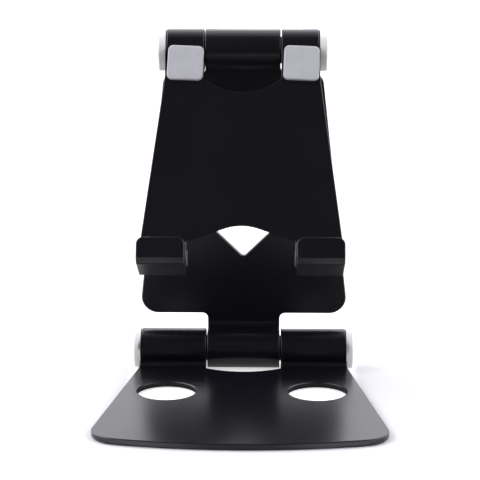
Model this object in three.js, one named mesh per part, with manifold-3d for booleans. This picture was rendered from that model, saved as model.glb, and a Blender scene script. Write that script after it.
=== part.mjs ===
// Folding phone stand: a base plate, an arm and a phone tray, joined by two
// friction hinges whose axes lie along X. Millimetres, +Z up. The origin is on
// the surface the stand rests on, under the middle of the stand; X = 0 is the
// mid-plane and -Y is the front, the side that the phone faces.
import * as THREE from "three";
import { mergeVertices } from "three/addons/utils/BufferGeometryUtils.js";
import Module from "manifold-3d";

const wasm = await Module();
wasm.setup();

// ---------------------------------------------------------------- dimensions
const PLATE = 2.0; // thickness of all three plates
const BARREL_R = 7.0; // outer radius of every hinge barrel and knuckle
const FOOT_PROUD = 0.3; // the rubber feet stand this far out of the base
const AXIS_Z = FOOT_PROUD + BARREL_R; // height of the lower hinge axis
const BASE_FRONT = 87.6; // front edge ahead of the lower axis, at mid-width
const AXIS_Y = (BASE_FRONT - BARREL_R) / 2; // the lower axis is behind the middle
const ARM_LENGTH = 109.0; // from the lower hinge axis to the upper one
const ARM_LEAN = 6.5; // degrees, forwards from upright
const TRAY_LEAN = 26.2; // degrees, its foot forwards from upright
const TRAY_LENGTH = 78.2; // from the upper axis to the underside of the hooks

// base plate
const BASE_BOW_R = 180.0; // radius of the bowed front edge
const BASE_REAR_HALF = 36.35; // half width at the hinge
const BASE_FRONT_HALF = 48.78; // half width where side and front would meet
const BASE_SIDE_START = 3.5;
const BASE_CORNER_R = 9.5;
const BASE_HOLE_R = 9.95;
const BASE_HOLE_X = 25.6;
const BASE_HOLE_Y = 34.2; // ahead of the axis
const BASE_SLOT_END = 8.2; // rear slot: where its arc starts, ahead of the axis
const BASE_SLOT_DEPTH = 12.3; // and its deepest point
const KNUCKLE_FILLET = 2.0;

// lower hinge
const LOWER_BARREL_HALF = 12.85;
const LOWER_KNUCKLE_IN = 13.25;
const LOWER_KNUCKLE_OUT = BASE_REAR_HALF;

// upper hinge
const UPPER_BARREL_HALF = 12.65;
const UPPER_KNUCKLE_IN = 12.95;
const UPPER_KNUCKLE_OUT = 25.75;

// hinge hardware
const SHAFT_R = 2.5;
const BORE_R = 2.8;
const COUNTERBORE_R = 4.6;
const COUNTERBORE_DEPTH = 6.5;
const BARREL_BORE_R = 4.0;
const RECESS_R = 4.9; // the friction washers sit in recesses in the barrel ends
const RECESS_DEPTH = 0.7;
const WASHER_R = 4.5;
const BUSH_R = 3.7;
const BUSH_LENGTH = 9.0;
const CAP_R = 7.0;
const CAP_THICK = 2.25;
const CAP_GAP = 0.25;
const END_CHAMFER = 0.6;

// arm plate
const ARM_PANEL_BOTTOM = 11.3; // the wide panel starts here, above the lower axis
const ARM_PANEL_TOP = 99.3; // and ends here
const ARM_BOTTOM_HALF = 37.15; // half width of the panel, corners unrounded
const ARM_TOP_HALF = 27.2;
const ARM_CORNER_R = 6.0;
const ARM_NECK_R = 2.0;
const ARM_TOP_CORNER_R = 3.8;
const ARM_TOP_NECK_R = 2.6;
const DIAMOND_CENTRE = 47.2; // above the lower axis
const DIAMOND_HALF = 14.5;
const DIAMOND_R = 1.2;

// tray plate
const TRAY_HALF = 33.2; // half width over the hooks
const TRAY_TOP_HALF = 26.04; // half width below the knuckles
const TRAY_SHOULDER = 13.4; // below the upper axis
const TRAY_PARALLEL = 69.8; // from here down the sides are parallel
const TRAY_SLOT_END = 12.2;
const TRAY_SLOT_DEPTH = 17.05;
const HOOK_INNER = 17.9; // inner side of each hook
const HOOK_DEPTH = 16.8; // front of the lip to the back of the tray
const HOOK_DROP = 0.55; // the shelf falls this much towards the tray
const LIP_HEIGHT = 8.4;
const LIP_CHAMFER = 1.8;
const LIP_R = 2.3;
const ARCH_SIDE = 67.6; // below the axis: where the arch meets the hooks
const ARCH_TOP = 62.2;
const ARCH_R = 17.0;

// soft parts
const PAD_SIZE = 11.9;
const PAD_THICK = 1.1;
const PAD_R = 1.8;
const PAD_DOWN = 7.2;
const PAD_LEFT_X = -19.05;
const PAD_RIGHT_X = 19.6;
const PAD_TURN = -2.3; // degrees: the pads are stuck on by hand
const LINER_THICK = 0.8;
const LINER_UP = 7.2; // height of the liner above the hook's underside
const FOOT_R = 6.0;
const FOOT_POCKET = 0.6;
const FEET = [
  ["base_foot_front_left", -36.5, -72.5],
  ["base_foot_front_right", 36.5, -72.5],
  ["base_foot_rear_left", -27.5, -14.0],
  ["base_foot_rear_right", 27.5, -14.0],
];

const DEG = Math.PI / 180;

// ----------------------------------------------------------------- materials
const coated = (name) => {
  const m = new THREE.MeshStandardMaterial({
    color: 0x17171b,
    roughness: 0.36,
    metalness: 0.0,
  });
  m.name = name;
  return m;
};
const plain = (name, color, roughness, metalness) => {
  const m = new THREE.MeshStandardMaterial({ color, roughness, metalness });
  m.name = name;
  return m;
};

// ------------------------------------------------------------- solid helpers
function toSolid(geometry) {
  const g = geometry.clone();
  g.deleteAttribute("normal");
  if (g.getAttribute("uv")) g.deleteAttribute("uv");
  const merged = mergeVertices(g, 1e-4);
  const index = merged.index.array;
  const kept = [];
  for (let i = 0; i < index.length; i += 3) {
    const [a, b, c] = [index[i], index[i + 1], index[i + 2]];
    if (a !== b && b !== c && a !== c) kept.push(a, b, c);
  }
  return new wasm.Manifold(
    new wasm.Mesh({
      numProp: 3,
      vertProperties: new Float32Array(merged.attributes.position.array),
      triVerts: new Uint32Array(kept),
    }),
  );
}

function toGeometry(solid) {
  const m = solid.getMesh();
  const g = new THREE.BufferGeometry();
  const positions = new Float32Array(m.numVert * 3);
  for (let i = 0; i < m.numVert; i++)
    for (let k = 0; k < 3; k++)
      positions[3 * i + k] = m.vertProperties[i * m.numProp + k];
  g.setAttribute("position", new THREE.BufferAttribute(positions, 3));
  g.setIndex(new THREE.BufferAttribute(new Uint32Array(m.triVerts), 1));
  g.computeVertexNormals();
  return g;
}

// An outline of [x, y, radius] corners as points, each corner rounded.
function rounded(corners, steps = 6) {
  const out = [];
  const n = corners.length;
  for (let i = 0; i < n; i++) {
    const [px, py] = corners[(i + n - 1) % n];
    const [x, y, r = 0] = corners[i];
    const [qx, qy] = corners[(i + 1) % n];
    if (!r) {
      out.push(new THREE.Vector2(x, y));
      continue;
    }
    const a = new THREE.Vector2(px - x, py - y).normalize();
    const b = new THREE.Vector2(qx - x, qy - y).normalize();
    const half = Math.acos(THREE.MathUtils.clamp(a.dot(b), -1, 1)) / 2;
    const along = r / Math.tan(half);
    const mid = a.clone().add(b).normalize();
    const centre = new THREE.Vector2(x, y).addScaledVector(mid, r / Math.sin(half));
    const start = new THREE.Vector2(x, y).addScaledVector(a, along).sub(centre);
    const end = new THREE.Vector2(x, y).addScaledVector(b, along).sub(centre);
    const t0 = Math.atan2(start.y, start.x);
    let sweep = Math.atan2(end.y, end.x) - t0;
    if (sweep > Math.PI) sweep -= 2 * Math.PI;
    if (sweep < -Math.PI) sweep += 2 * Math.PI;
    for (let k = 0; k <= steps; k++) {
      const t = t0 + (sweep * k) / steps;
      out.push(
        new THREE.Vector2(centre.x + r * Math.cos(t), centre.y + r * Math.sin(t)),
      );
    }
  }
  return out;
}

// A circular arc from p to q that passes through m.
function arcThrough(p, m, q, steps) {
  const [ax, ay] = p, [bx, by] = m, [cx, cy] = q;
  const d = 2 * (ax * (by - cy) + bx * (cy - ay) + cx * (ay - by));
  const ux =
    ((ax * ax + ay * ay) * (by - cy) +
      (bx * bx + by * by) * (cy - ay) +
      (cx * cx + cy * cy) * (ay - by)) / d;
  const uy =
    ((ax * ax + ay * ay) * (cx - bx) +
      (bx * bx + by * by) * (ax - cx) +
      (cx * cx + cy * cy) * (bx - ax)) / d;
  const r = Math.hypot(ax - ux, ay - uy);
  const t0 = Math.atan2(ay - uy, ax - ux);
  const tm = Math.atan2(by - uy, bx - ux);
  let t1 = Math.atan2(cy - uy, cx - ux);
  const wrap = (t) => ((t % (2 * Math.PI)) + 2 * Math.PI) % (2 * Math.PI);
  let sweep = wrap(t1 - t0);
  if (wrap(tm - t0) > sweep) sweep -= 2 * Math.PI;
  const out = [];
  for (let k = 0; k <= steps; k++) {
    const t = t0 + (sweep * k) / steps;
    out.push([ux + r * Math.cos(t), uy + r * Math.sin(t)]);
  }
  return out;
}

const prism = (points, depth, holes = []) => {
  const shape = new THREE.Shape(points);
  for (const h of holes) shape.holes.push(new THREE.Path(h));
  return new THREE.ExtrudeGeometry(shape, { depth, bevelEnabled: false, steps: 1 });
};

// An outline in (Y, Z), swept along X from x0 to x1.
function alongX(points, x0, x1) {
  const g = prism(points, x1 - x0);
  g.applyMatrix4(
    new THREE.Matrix4().makeBasis(
      new THREE.Vector3(0, 1, 0),
      new THREE.Vector3(0, 0, 1),
      new THREE.Vector3(1, 0, 0),
    ),
  );
  g.translate(x0, 0, 0);
  return g;
}

// An outline in (X, Y), swept up from z0 to z1.
function alongZ(points, z0, z1, holes = []) {
  const g = prism(points, z1 - z0, holes);
  g.translate(0, 0, z0);
  return g;
}

// An outline in (X, Z), swept along Y from y0 to y1.
function alongY(points, y0, y1, holes = []) {
  const g = prism(points, y1 - y0, holes);
  g.rotateX(Math.PI / 2); // (x, y, z) -> (x, -z, y)
  g.translate(0, y1, 0);
  return g;
}

// A profile of [radius, x] points turned about the X axis.
function turnedX(profile, segments = 40) {
  const g = new THREE.LatheGeometry(
    profile.map(([r, x]) => new THREE.Vector2(r, x)),
    segments,
  );
  g.rotateZ(-Math.PI / 2); // the lathe's axis Y becomes X
  return g;
}

const circle = (x, y, r, n = 40) =>
  Array.from({ length: n }, (_, i) => {
    const t = (2 * Math.PI * i) / n;
    return new THREE.Vector2(x + r * Math.cos(t), y + r * Math.sin(t));
  });

const mirrored = (solid) => solid.mirror([1, 0, 0]);

// A tube along X with chamfered outer ends.
const barrel = (x0, x1, r, bore, chamfer, segments = 40) =>
  turnedX(
    [
      [bore, x0],
      [r - chamfer, x0],
      [r, x0 + chamfer],
      [r, x1 - chamfer],
      [r - chamfer, x1],
      [bore, x1],
      [bore, x0],
    ],
    segments,
  );

const rod = (x0, x1, r, segments = 24) =>
  turnedX(
    [
      [0, x0],
      [r, x0],
      [r, x1],
      [0, x1],
    ],
    segments,
  );

// ------------------------------------------------------------------ the base
// In a frame whose origin is the lower hinge axis: its underside is at
// z = -BARREL_R, and the front is -Y.
function basePlate() {
  const bow = (x) =>
    -BASE_FRONT + BASE_BOW_R - Math.sqrt(BASE_BOW_R ** 2 - x * x);
  const corners = [];
  corners.push([BASE_REAR_HALF, 0, 0], [LOWER_KNUCKLE_IN, 0, 0]);
  for (const [x, y] of arcThrough(
    [LOWER_KNUCKLE_IN, -BASE_SLOT_END],
    [0, -BASE_SLOT_DEPTH],
    [-LOWER_KNUCKLE_IN, -BASE_SLOT_END],
    16,
  ))
    corners.push([x, y, 0]);
  corners.push([-LOWER_KNUCKLE_IN, 0, 0]);
  corners.push([-BASE_REAR_HALF, 0, 0]);
  corners.push([-BASE_REAR_HALF, -BASE_SIDE_START, 0]);
  corners.push([-BASE_FRONT_HALF, bow(BASE_FRONT_HALF), BASE_CORNER_R]);
  for (let i = -8; i <= 8; i++) corners.push([(38 * i) / 8, bow((38 * i) / 8), 0]);
  corners.push([BASE_FRONT_HALF, bow(BASE_FRONT_HALF), BASE_CORNER_R]);
  corners.push([BASE_REAR_HALF, -BASE_SIDE_START, 0]);
  let s = toSolid(
    alongZ(rounded(corners, 10), -BARREL_R, -BARREL_R + PLATE, [
      circle(BASE_HOLE_X, -BASE_HOLE_Y, BASE_HOLE_R),
      circle(-BASE_HOLE_X, -BASE_HOLE_Y, BASE_HOLE_R),
    ]),
  );
  for (const side of [1, -1]) {
    let k = toSolid(
      barrel(LOWER_KNUCKLE_IN, LOWER_KNUCKLE_OUT, BARREL_R, BORE_R, END_CHAMFER),
    ).add(
      toSolid(
        alongX(
          gusset(-BARREL_R + PLATE, -1),
          LOWER_KNUCKLE_IN,
          LOWER_KNUCKLE_OUT,
        ),
      ),
    );
    if (side < 0) k = mirrored(k);
    s = s.add(k);
  }
  for (const side of [1, -1]) {
    const bore = rod(LOWER_KNUCKLE_IN - 5, LOWER_KNUCKLE_OUT + 5, BORE_R);
    const seat = rod(
      LOWER_KNUCKLE_OUT - COUNTERBORE_DEPTH,
      LOWER_KNUCKLE_OUT + 5,
      COUNTERBORE_R,
    );
    for (const g of [bore, seat]) {
      const cut = toSolid(g);
      s = s.subtract(side > 0 ? cut : mirrored(cut));
    }
  }
  for (const [, x, y] of FEET)
    s = s.subtract(
      toSolid(
        alongZ(
          circle(x, y, FOOT_R + 0.35, 28),
          -BARREL_R - 1,
          -BARREL_R + FOOT_POCKET,
        ),
      ),
    );
  return toGeometry(s);
}

// The web in (Y, Z) that fills the corner between a barrel about the origin and
// a plate whose inner face is the line z = level, on the side given by dir,
// with a rounded inside corner.
function gusset(level, dir) {
  const r = KNUCKLE_FILLET;
  const cz = level + r;
  const cy = Math.sqrt((BARREL_R + r) ** 2 - cz ** 2);
  const tangent = new THREE.Vector2(cy, cz).multiplyScalar(BARREL_R / (BARREL_R + r));
  const t0 = -Math.PI / 2;
  const t1 = Math.atan2(tangent.y - cz, tangent.x - cy);
  const pts = [[0, level - 0.5], [cy, level - 0.5]];
  let sweep = t1 - t0;
  if (sweep > Math.PI) sweep -= 2 * Math.PI;
  if (sweep < -Math.PI) sweep += 2 * Math.PI;
  for (let k = 0; k <= 8; k++) {
    const t = t0 + (sweep * k) / 8;
    pts.push([cy + r * Math.cos(t), cz + r * Math.sin(t)]);
  }
  pts.push([0, tangent.y]);
  const out = pts.map(([y, z]) => new THREE.Vector2(dir * y, z));
  return dir < 0 ? out.reverse() : out;
}

// ------------------------------------------------------------------- the arm
// In a frame whose origin is the lower hinge axis, with the arm upright: the
// plate lies against the rear of both barrels, y from 5 to 7.
function armPlate() {
  const bottom = ARM_PANEL_BOTTOM;
  const top = ARM_PANEL_TOP;
  const outline = rounded(
    [
      [LOWER_BARREL_HALF, 0, 0],
      [LOWER_BARREL_HALF, bottom, ARM_NECK_R],
      [ARM_BOTTOM_HALF, bottom, ARM_CORNER_R],
      [ARM_TOP_HALF, top, ARM_TOP_CORNER_R],
      [UPPER_BARREL_HALF, top, ARM_TOP_NECK_R],
      [UPPER_BARREL_HALF, ARM_LENGTH, 0],
      [-UPPER_BARREL_HALF, ARM_LENGTH, 0],
      [-UPPER_BARREL_HALF, top, ARM_TOP_NECK_R],
      [-ARM_TOP_HALF, top, ARM_TOP_CORNER_R],
      [-ARM_BOTTOM_HALF, bottom, ARM_CORNER_R],
      [-LOWER_BARREL_HALF, bottom, ARM_NECK_R],
      [-LOWER_BARREL_HALF, 0, 0],
    ],
    8,
  );
  const diamond = rounded(
    [
      [0, DIAMOND_CENTRE - DIAMOND_HALF, DIAMOND_R],
      [DIAMOND_HALF, DIAMOND_CENTRE, DIAMOND_R],
      [0, DIAMOND_CENTRE + DIAMOND_HALF, DIAMOND_R],
      [-DIAMOND_HALF, DIAMOND_CENTRE, DIAMOND_R],
    ],
    5,
  );
  let s = toSolid(alongY(outline, BARREL_R - PLATE, BARREL_R, [diamond]));
  for (const [z, half, sign] of [
    [0, LOWER_BARREL_HALF, 1],
    [ARM_LENGTH, UPPER_BARREL_HALF, -1],
  ]) {
    const b = barrel(-half, half, BARREL_R, BARREL_BORE_R, END_CHAMFER);
    b.translate(0, 0, z);
    // the gusset, turned so that its plate is behind the barrel
    const w = alongX(gusset(-BARREL_R + PLATE, -1), -half, half);
    w.rotateX(Math.PI / 2); // the plate goes to y = +5 and runs towards -z
    if (sign > 0) {
      w.scale(1, 1, -1);
      flip(w);
    }
    w.translate(0, 0, z);
    s = s.add(toSolid(b)).add(toSolid(w));
  }
  for (const [z, half] of [
    [0, LOWER_BARREL_HALF],
    [ARM_LENGTH, UPPER_BARREL_HALF],
  ])
    for (const g of [
      rod(-20, 20, BARREL_BORE_R),
      rod(half - RECESS_DEPTH, half + 5, RECESS_R),
      rod(-half - 5, -half + RECESS_DEPTH, RECESS_R),
    ]) {
      g.translate(0, 0, z);
      s = s.subtract(toSolid(g));
    }
  return toGeometry(s);
}

// Turns each triangle round, after a mirroring scale.
function flip(g) {
  const p = g.getAttribute("position");
  if (g.index) {
    const a = g.index.array;
    for (let i = 0; i < a.length; i += 3) [a[i + 1], a[i + 2]] = [a[i + 2], a[i + 1]];
    return;
  }
  const v = p.array;
  for (let i = 0; i < v.length; i += 9)
    for (let k = 0; k < 3; k++)
      [v[i + 3 + k], v[i + 6 + k]] = [v[i + 6 + k], v[i + 3 + k]];
}

// ------------------------------------------------------------------ the tray
// In a frame whose origin is the upper hinge axis, with the tray hanging
// upright: the plate lies against the front of the knuckles, y from -7 to -5.
function trayPlate() {
  const side = (x) => [
    [x * UPPER_KNUCKLE_OUT, 0, 0],
    [x * UPPER_KNUCKLE_OUT, -10.6, 3],
    [x * TRAY_TOP_HALF, -TRAY_SHOULDER, 3],
    [x * TRAY_HALF, -TRAY_PARALLEL, 6],
    [x * TRAY_HALF, -TRAY_LENGTH - 4, 0],
    [x * HOOK_INNER, -TRAY_LENGTH - 4, 0],
    [x * HOOK_INNER, -ARCH_SIDE, 1.6],
  ];
  const slope = 18.2 * DEG;
  const apex = ARCH_TOP - ARCH_R * (1 / Math.cos(slope) - 1);
  const corners = side(1).reverse();
  // from the right hook's inner side, up the right edge, round the slot and
  // down the left edge, then back along the arch
  const slot = arcThrough(
    [UPPER_KNUCKLE_IN, -TRAY_SLOT_END],
    [0, -TRAY_SLOT_DEPTH],
    [-UPPER_KNUCKLE_IN, -TRAY_SLOT_END],
    16,
  );
  const outline = rounded(
    [
      ...corners,
      [UPPER_KNUCKLE_IN, 0, 0],
      ...slot.map(([x, z]) => [x, z, 0]),
      [-UPPER_KNUCKLE_IN, 0, 0],
      ...side(-1),
      [0, -apex, ARCH_R],
    ],
    8,
  );
  const outer = toSolid(alongY(outline, -BARREL_R - HOOK_DEPTH, BARREL_R));
  // the section in (Y, Z): plate, shelf and lip in one bent strip
  const yb = -(BARREL_R - PLATE);
  const yf = yb - HOOK_DEPTH;
  const zt = -TRAY_LENGTH;
  const section = rounded(
    [
      [yb, 0, 0],
      [-BARREL_R, 0, 0],
      [-BARREL_R, zt + PLATE - HOOK_DROP, 1.2],
      [yf + PLATE, zt + PLATE, 1.2],
      [yf + PLATE, zt + LIP_HEIGHT, 0.3],
      [yf, zt + LIP_HEIGHT, 0.3],
      [yf, zt + LIP_CHAMFER, 0.4],
      [yf + LIP_CHAMFER, zt, 1.1],
      [yb, zt - HOOK_DROP, 0.3],
    ],
    4,
  );
  let s = toSolid(alongX(section, -TRAY_HALF - 1, TRAY_HALF + 1)).intersect(outer);
  // the lips' top corners are rounded
  const lipTop = zt + LIP_HEIGHT;
  for (const sgn of [1, -1])
    for (const [x, dir] of [
      [TRAY_HALF, 1],
      [HOOK_INNER, -1],
    ]) {
      const r = LIP_R;
      const cx = x - dir * r;
      const pts = [];
      for (let k = 0; k <= 6; k++) {
        const t = (Math.PI / 2) * (k / 6);
        pts.push([cx + dir * r * Math.cos(t), lipTop - r + r * Math.sin(t)]);
      }
      pts.push([cx, lipTop + 1], [x + dir * 1, lipTop + 1], [x + dir * 1, lipTop - r]);
      let ring = pts.map(([a, b]) => new THREE.Vector2(sgn * a, b));
      if (THREE.ShapeUtils.area(ring) < 0) ring = ring.reverse();
      s = s.subtract(toSolid(alongY(ring, yf - 1, yf + PLATE + 1)));
    }
  for (const sgn of [1, -1]) {
    let k = toSolid(
      barrel(UPPER_KNUCKLE_IN, UPPER_KNUCKLE_OUT, BARREL_R, BORE_R, END_CHAMFER),
    );
    // behind the plate, below the knuckle: the rounded inside corner
    const w = alongX(gusset(-BARREL_R + PLATE, -1), UPPER_KNUCKLE_IN, UPPER_KNUCKLE_OUT);
    w.rotateX(Math.PI / 2); // plate at +y, run towards -z
    w.scale(1, -1, 1); // plate at -y
    flip(w);
    k = k.add(toSolid(w));
    if (sgn < 0) k = mirrored(k);
    s = s.add(k);
    for (const g of [
      rod(UPPER_KNUCKLE_IN - 5, UPPER_KNUCKLE_OUT + 5, BORE_R),
      rod(UPPER_KNUCKLE_OUT - COUNTERBORE_DEPTH, UPPER_KNUCKLE_OUT + 5, COUNTERBORE_R),
    ]) {
      const cut = toSolid(g);
      s = s.subtract(sgn > 0 ? cut : mirrored(cut));
    }
  }
  return toGeometry(s);
}

// A U-shaped strip that lines one hook: up the tray, along the shelf and up the
// lip. It stands a little proud of the hook's inner side.
function hookLiner(sgn) {
  const gap = 0.25;
  const t = LINER_THICK;
  const y0 = -BARREL_R - gap;
  const y1 = -(BARREL_R - PLATE) - HOOK_DEPTH + PLATE + gap;
  const z0 = -TRAY_LENGTH + PLATE + gap;
  const z1 = -TRAY_LENGTH + LINER_UP;
  const section = rounded(
    [
      [y0, z0 - HOOK_DROP, 1.1],
      [y0, z1, 0.2],
      [y0 - t, z1, 0.2],
      [y0 - t, z0 + t - HOOK_DROP, 0.5],
      [y1 + t, z0 + t, 0.5],
      [y1 + t, z1, 0.2],
      [y1, z1, 0.2],
      [y1, z0, 1.1],
    ],
    4,
  );
  const a = HOOK_INNER - 0.5;
  const b = TRAY_HALF - 0.5;
  return sgn > 0 ? alongX(section, a, b) : alongX(section, -b, -a);
}

function trayPad() {
  const h = PAD_SIZE / 2;
  const square = rounded(
    [
      [-h, -h, PAD_R],
      [h, -h, PAD_R],
      [h, h, PAD_R],
      [-h, h, PAD_R],
    ],
    6,
  );
  return alongY(square, -PAD_THICK, 0);
}

// --------------------------------------------------------- hinge hardware
function friction(x0, x1) {
  return turnedX(
    [
      [BORE_R, x0],
      [WASHER_R, x0],
      [WASHER_R, x1],
      [BORE_R, x1],
      [BORE_R, x0],
    ],
    24,
  );
}

function springWasher(x0) {
  return turnedX(
    [
      [BORE_R, x0],
      [4.2, x0 + 0.35],
      [4.2, x0 + 0.8],
      [BORE_R, x0 + 0.45],
      [BORE_R, x0],
    ],
    20,
  );
}

function endCap(face) {
  const x0 = face + CAP_GAP;
  const x1 = x0 + CAP_THICK;
  return turnedX(
    [
      [0, face - 2.0],
      [3.9, face - 2.0],
      [4.2, face - 1.7],
      [4.2, x0],
      [CAP_R - 0.15, x0],
      [CAP_R, x0 + 0.15],
      [CAP_R, x1 - 0.6],
      [CAP_R - 0.6, x1],
      [0, x1],
    ],
    36,
  );
}

function shaft(face) {
  const head = face - COUNTERBORE_DEPTH + 1.35;
  return turnedX(
    [
      [0, -(head + 2.2)],
      [3.9, -(head + 2.2)],
      [4.2, -(head + 1.9)],
      [4.2, -head],
      [SHAFT_R, -head],
      [SHAFT_R, head + 2.4],
      [SHAFT_R - 0.4, head + 2.8],
      [0, head + 2.8],
    ],
    20,
  );
}

function lockNut(face) {
  const x0 = face - COUNTERBORE_DEPTH + 1.35;
  const outline = Array.from({ length: 6 }, (_, i) => {
    const t = (Math.PI / 3) * i;
    return new THREE.Vector2(4.3 * Math.cos(t), 4.3 * Math.sin(t));
  });
  const shape = new THREE.Shape(outline);
  shape.holes.push(new THREE.Path(circle(0, 0, BORE_R, 20)));
  const g = new THREE.ExtrudeGeometry(shape, { depth: 2.4, bevelEnabled: false });
  g.applyMatrix4(
    new THREE.Matrix4().makeBasis(
      new THREE.Vector3(0, 1, 0),
      new THREE.Vector3(0, 0, 1),
      new THREE.Vector3(1, 0, 0),
    ),
  );
  g.translate(x0, 0, 0);
  return g;
}

const bush = (x0) => barrel(x0, x0 + BUSH_LENGTH, BUSH_R, BORE_R, 0.3, 20);

// ------------------------------------------------------------- the assembly
const stand = new THREE.Group();
stand.name = "phone_stand";
const lower = new THREE.Group(); // the lower hinge axis
lower.position.set(0, AXIS_Y, AXIS_Z);
stand.add(lower);
const arm = new THREE.Group(); // turns about the lower axis
arm.rotation.x = ARM_LEAN * DEG;
lower.add(arm);
const upper = new THREE.Group(); // the upper hinge axis
upper.position.set(0, 0, ARM_LENGTH);
arm.add(upper);
const tray = new THREE.Group(); // turns about the upper axis
tray.rotation.x = -(TRAY_LEAN + ARM_LEAN) * DEG;
upper.add(tray);

function add(parent, name, geometry, material, place = {}) {
  const mesh = new THREE.Mesh(geometry, material);
  mesh.name = name;
  if (place.position) mesh.position.set(...place.position);
  if (place.rotation) mesh.rotation.set(...place.rotation);
  parent.add(mesh);
  return mesh;
}

add(lower, "base_plate", basePlate(), coated("base_coating"));
for (const [name, x, y] of FEET) {
  const g = alongZ(
    circle(x, y, FOOT_R, 28),
    -BARREL_R - FOOT_PROUD,
    -BARREL_R + FOOT_POCKET - 0.25,
  );
  add(lower, name, g, plain("foot_rubber", 0x1b1b1c, 0.85, 0));
}
add(arm, "arm_plate", armPlate(), coated("arm_coating"));
add(tray, "tray_plate", trayPlate(), coated("tray_coating"));

for (const [name, x] of [
  ["tray_pad_left", PAD_LEFT_X],
  ["tray_pad_right", PAD_RIGHT_X],
])
  add(tray, name, trayPad(), plain("pad_silicone", 0xb0b1b6, 0.7, 0), {
    position: [x, -BARREL_R - 0.2, -PAD_DOWN],
    rotation: [0, -PAD_TURN * DEG, 0],
  });
add(tray, "hook_liner_left", hookLiner(-1), plain("liner_silicone", 0x2a2a2c, 0.6, 0));
add(tray, "hook_liner_right", hookLiner(1), plain("liner_silicone", 0x2a2a2c, 0.6, 0));

for (const [where, parent, barrelHalf, knuckleIn, face] of [
  ["lower", lower, LOWER_BARREL_HALF, LOWER_KNUCKLE_IN, LOWER_KNUCKLE_OUT],
  ["upper", tray, UPPER_BARREL_HALF, UPPER_KNUCKLE_IN, UPPER_KNUCKLE_OUT],
]) {
  add(parent, where + "_hinge_shaft", shaft(face), plain("steel", 0x8d8f94, 0.35, 1));
  add(parent, where + "_lock_nut", lockNut(face), plain("zinc", 0x9a9ca2, 0.4, 1));
  for (const [side, turn] of [
    ["left", [0, Math.PI, 0]],
    ["right", [0, 0, 0]],
  ]) {
    add(
      parent,
      where + "_end_cap_" + side,
      endCap(face),
      plain("bright_aluminium", 0xdfe0e3, 0.22, 1),
      { rotation: turn },
    );
    add(
      parent,
      where + "_spring_washer_" + side,
      springWasher(face - COUNTERBORE_DEPTH + 0.25),
      plain("spring_steel", 0x6f7278, 0.4, 1),
      { rotation: turn },
    );
    add(
      parent,
      where + "_friction_washer_" + side,
      friction(barrelHalf - RECESS_DEPTH + 0.2, knuckleIn - 0.2),
      plain("friction_polymer", 0x1c1c1e, 0.5, 0),
      { rotation: turn },
    );
    add(
      where === "lower" ? arm : upper,
      where + "_barrel_bush_" + side,
      bush(barrelHalf - RECESS_DEPTH - 0.3 - BUSH_LENGTH),
      plain("acetal", 0xd8d6cf, 0.5, 0),
      { rotation: turn },
    );
  }
}

export default stand;
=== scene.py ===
import math

import bmesh
import bpy
from mathutils import Matrix, Vector


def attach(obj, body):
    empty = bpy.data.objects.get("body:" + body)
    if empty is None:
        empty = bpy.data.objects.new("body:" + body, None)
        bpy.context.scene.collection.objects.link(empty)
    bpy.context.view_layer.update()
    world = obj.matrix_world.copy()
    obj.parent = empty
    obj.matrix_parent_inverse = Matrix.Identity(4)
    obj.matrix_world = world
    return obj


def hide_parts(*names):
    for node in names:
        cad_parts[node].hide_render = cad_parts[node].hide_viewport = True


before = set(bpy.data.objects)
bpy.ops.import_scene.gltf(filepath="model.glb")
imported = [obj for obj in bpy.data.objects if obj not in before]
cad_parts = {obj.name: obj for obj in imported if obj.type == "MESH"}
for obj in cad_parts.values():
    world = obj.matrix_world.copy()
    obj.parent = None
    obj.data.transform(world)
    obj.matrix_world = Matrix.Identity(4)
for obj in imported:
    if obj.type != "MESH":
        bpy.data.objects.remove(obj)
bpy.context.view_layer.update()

MM = 0.001
DEG = math.pi / 180

# ------------------------------------------------------------- the camera
cam_data = bpy.data.cameras.new("camera")
cam_data.lens = 135
cam_data.sensor_width = 36
cam_data.clip_start = 0.02
cam_data.clip_end = 60
cam = bpy.data.objects.new("camera", cam_data)
cam.location = (0.009407, -0.577398, 0.191849)
cam.rotation_euler = ((90 - 13.206) * DEG, 0, 0.99 * DEG)
bpy.context.scene.collection.objects.link(cam)
bpy.context.scene.camera = cam
bpy.context.scene.view_settings.view_transform = "Standard"

# ------------------------------- dimensions, the same as in the CAD, in mm
PLATE = 2.0
BARREL_R = 7.0
FOOT_PROUD = 0.3
AXIS_Z = 7.3
AXIS_Y = 40.3
ARM_LENGTH = 109.0
ARM_LEAN = 6.5
TRAY_LEAN = 26.2
TRAY_LENGTH = 78.2

BASE_FRONT = 87.6
BASE_BOW_R = 180.0
BASE_REAR_HALF = 36.35
BASE_FRONT_HALF = 48.78
BASE_SIDE_START = 3.5
BASE_CORNER_R = 9.5
BASE_HOLE_R = 9.95
BASE_HOLE_X = 25.6
BASE_HOLE_Y = 34.2
BASE_SLOT_END = 8.2
BASE_SLOT_DEPTH = 12.3

LOWER_BARREL_HALF = 12.85
LOWER_KNUCKLE_IN = 13.25
LOWER_KNUCKLE_OUT = 36.35
UPPER_BARREL_HALF = 12.65
UPPER_KNUCKLE_IN = 12.95
UPPER_KNUCKLE_OUT = 25.75
BORE_R = 2.8
COUNTERBORE_R = 4.6
COUNTERBORE_DEPTH = 6.5
BARREL_BORE_R = 4.0
RECESS_R = 4.9
RECESS_DEPTH = 0.7
WASHER_R = 4.5

ARM_PANEL_BOTTOM = 11.3
ARM_PANEL_TOP = 99.3
ARM_BOTTOM_HALF = 37.15
ARM_TOP_HALF = 27.2
ARM_CORNER_R = 6.0
ARM_NECK_R = 2.0
ARM_TOP_CORNER_R = 3.8
ARM_TOP_NECK_R = 2.6
DIAMOND_CENTRE = 47.2
DIAMOND_HALF = 14.5
DIAMOND_R = 1.2

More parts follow.
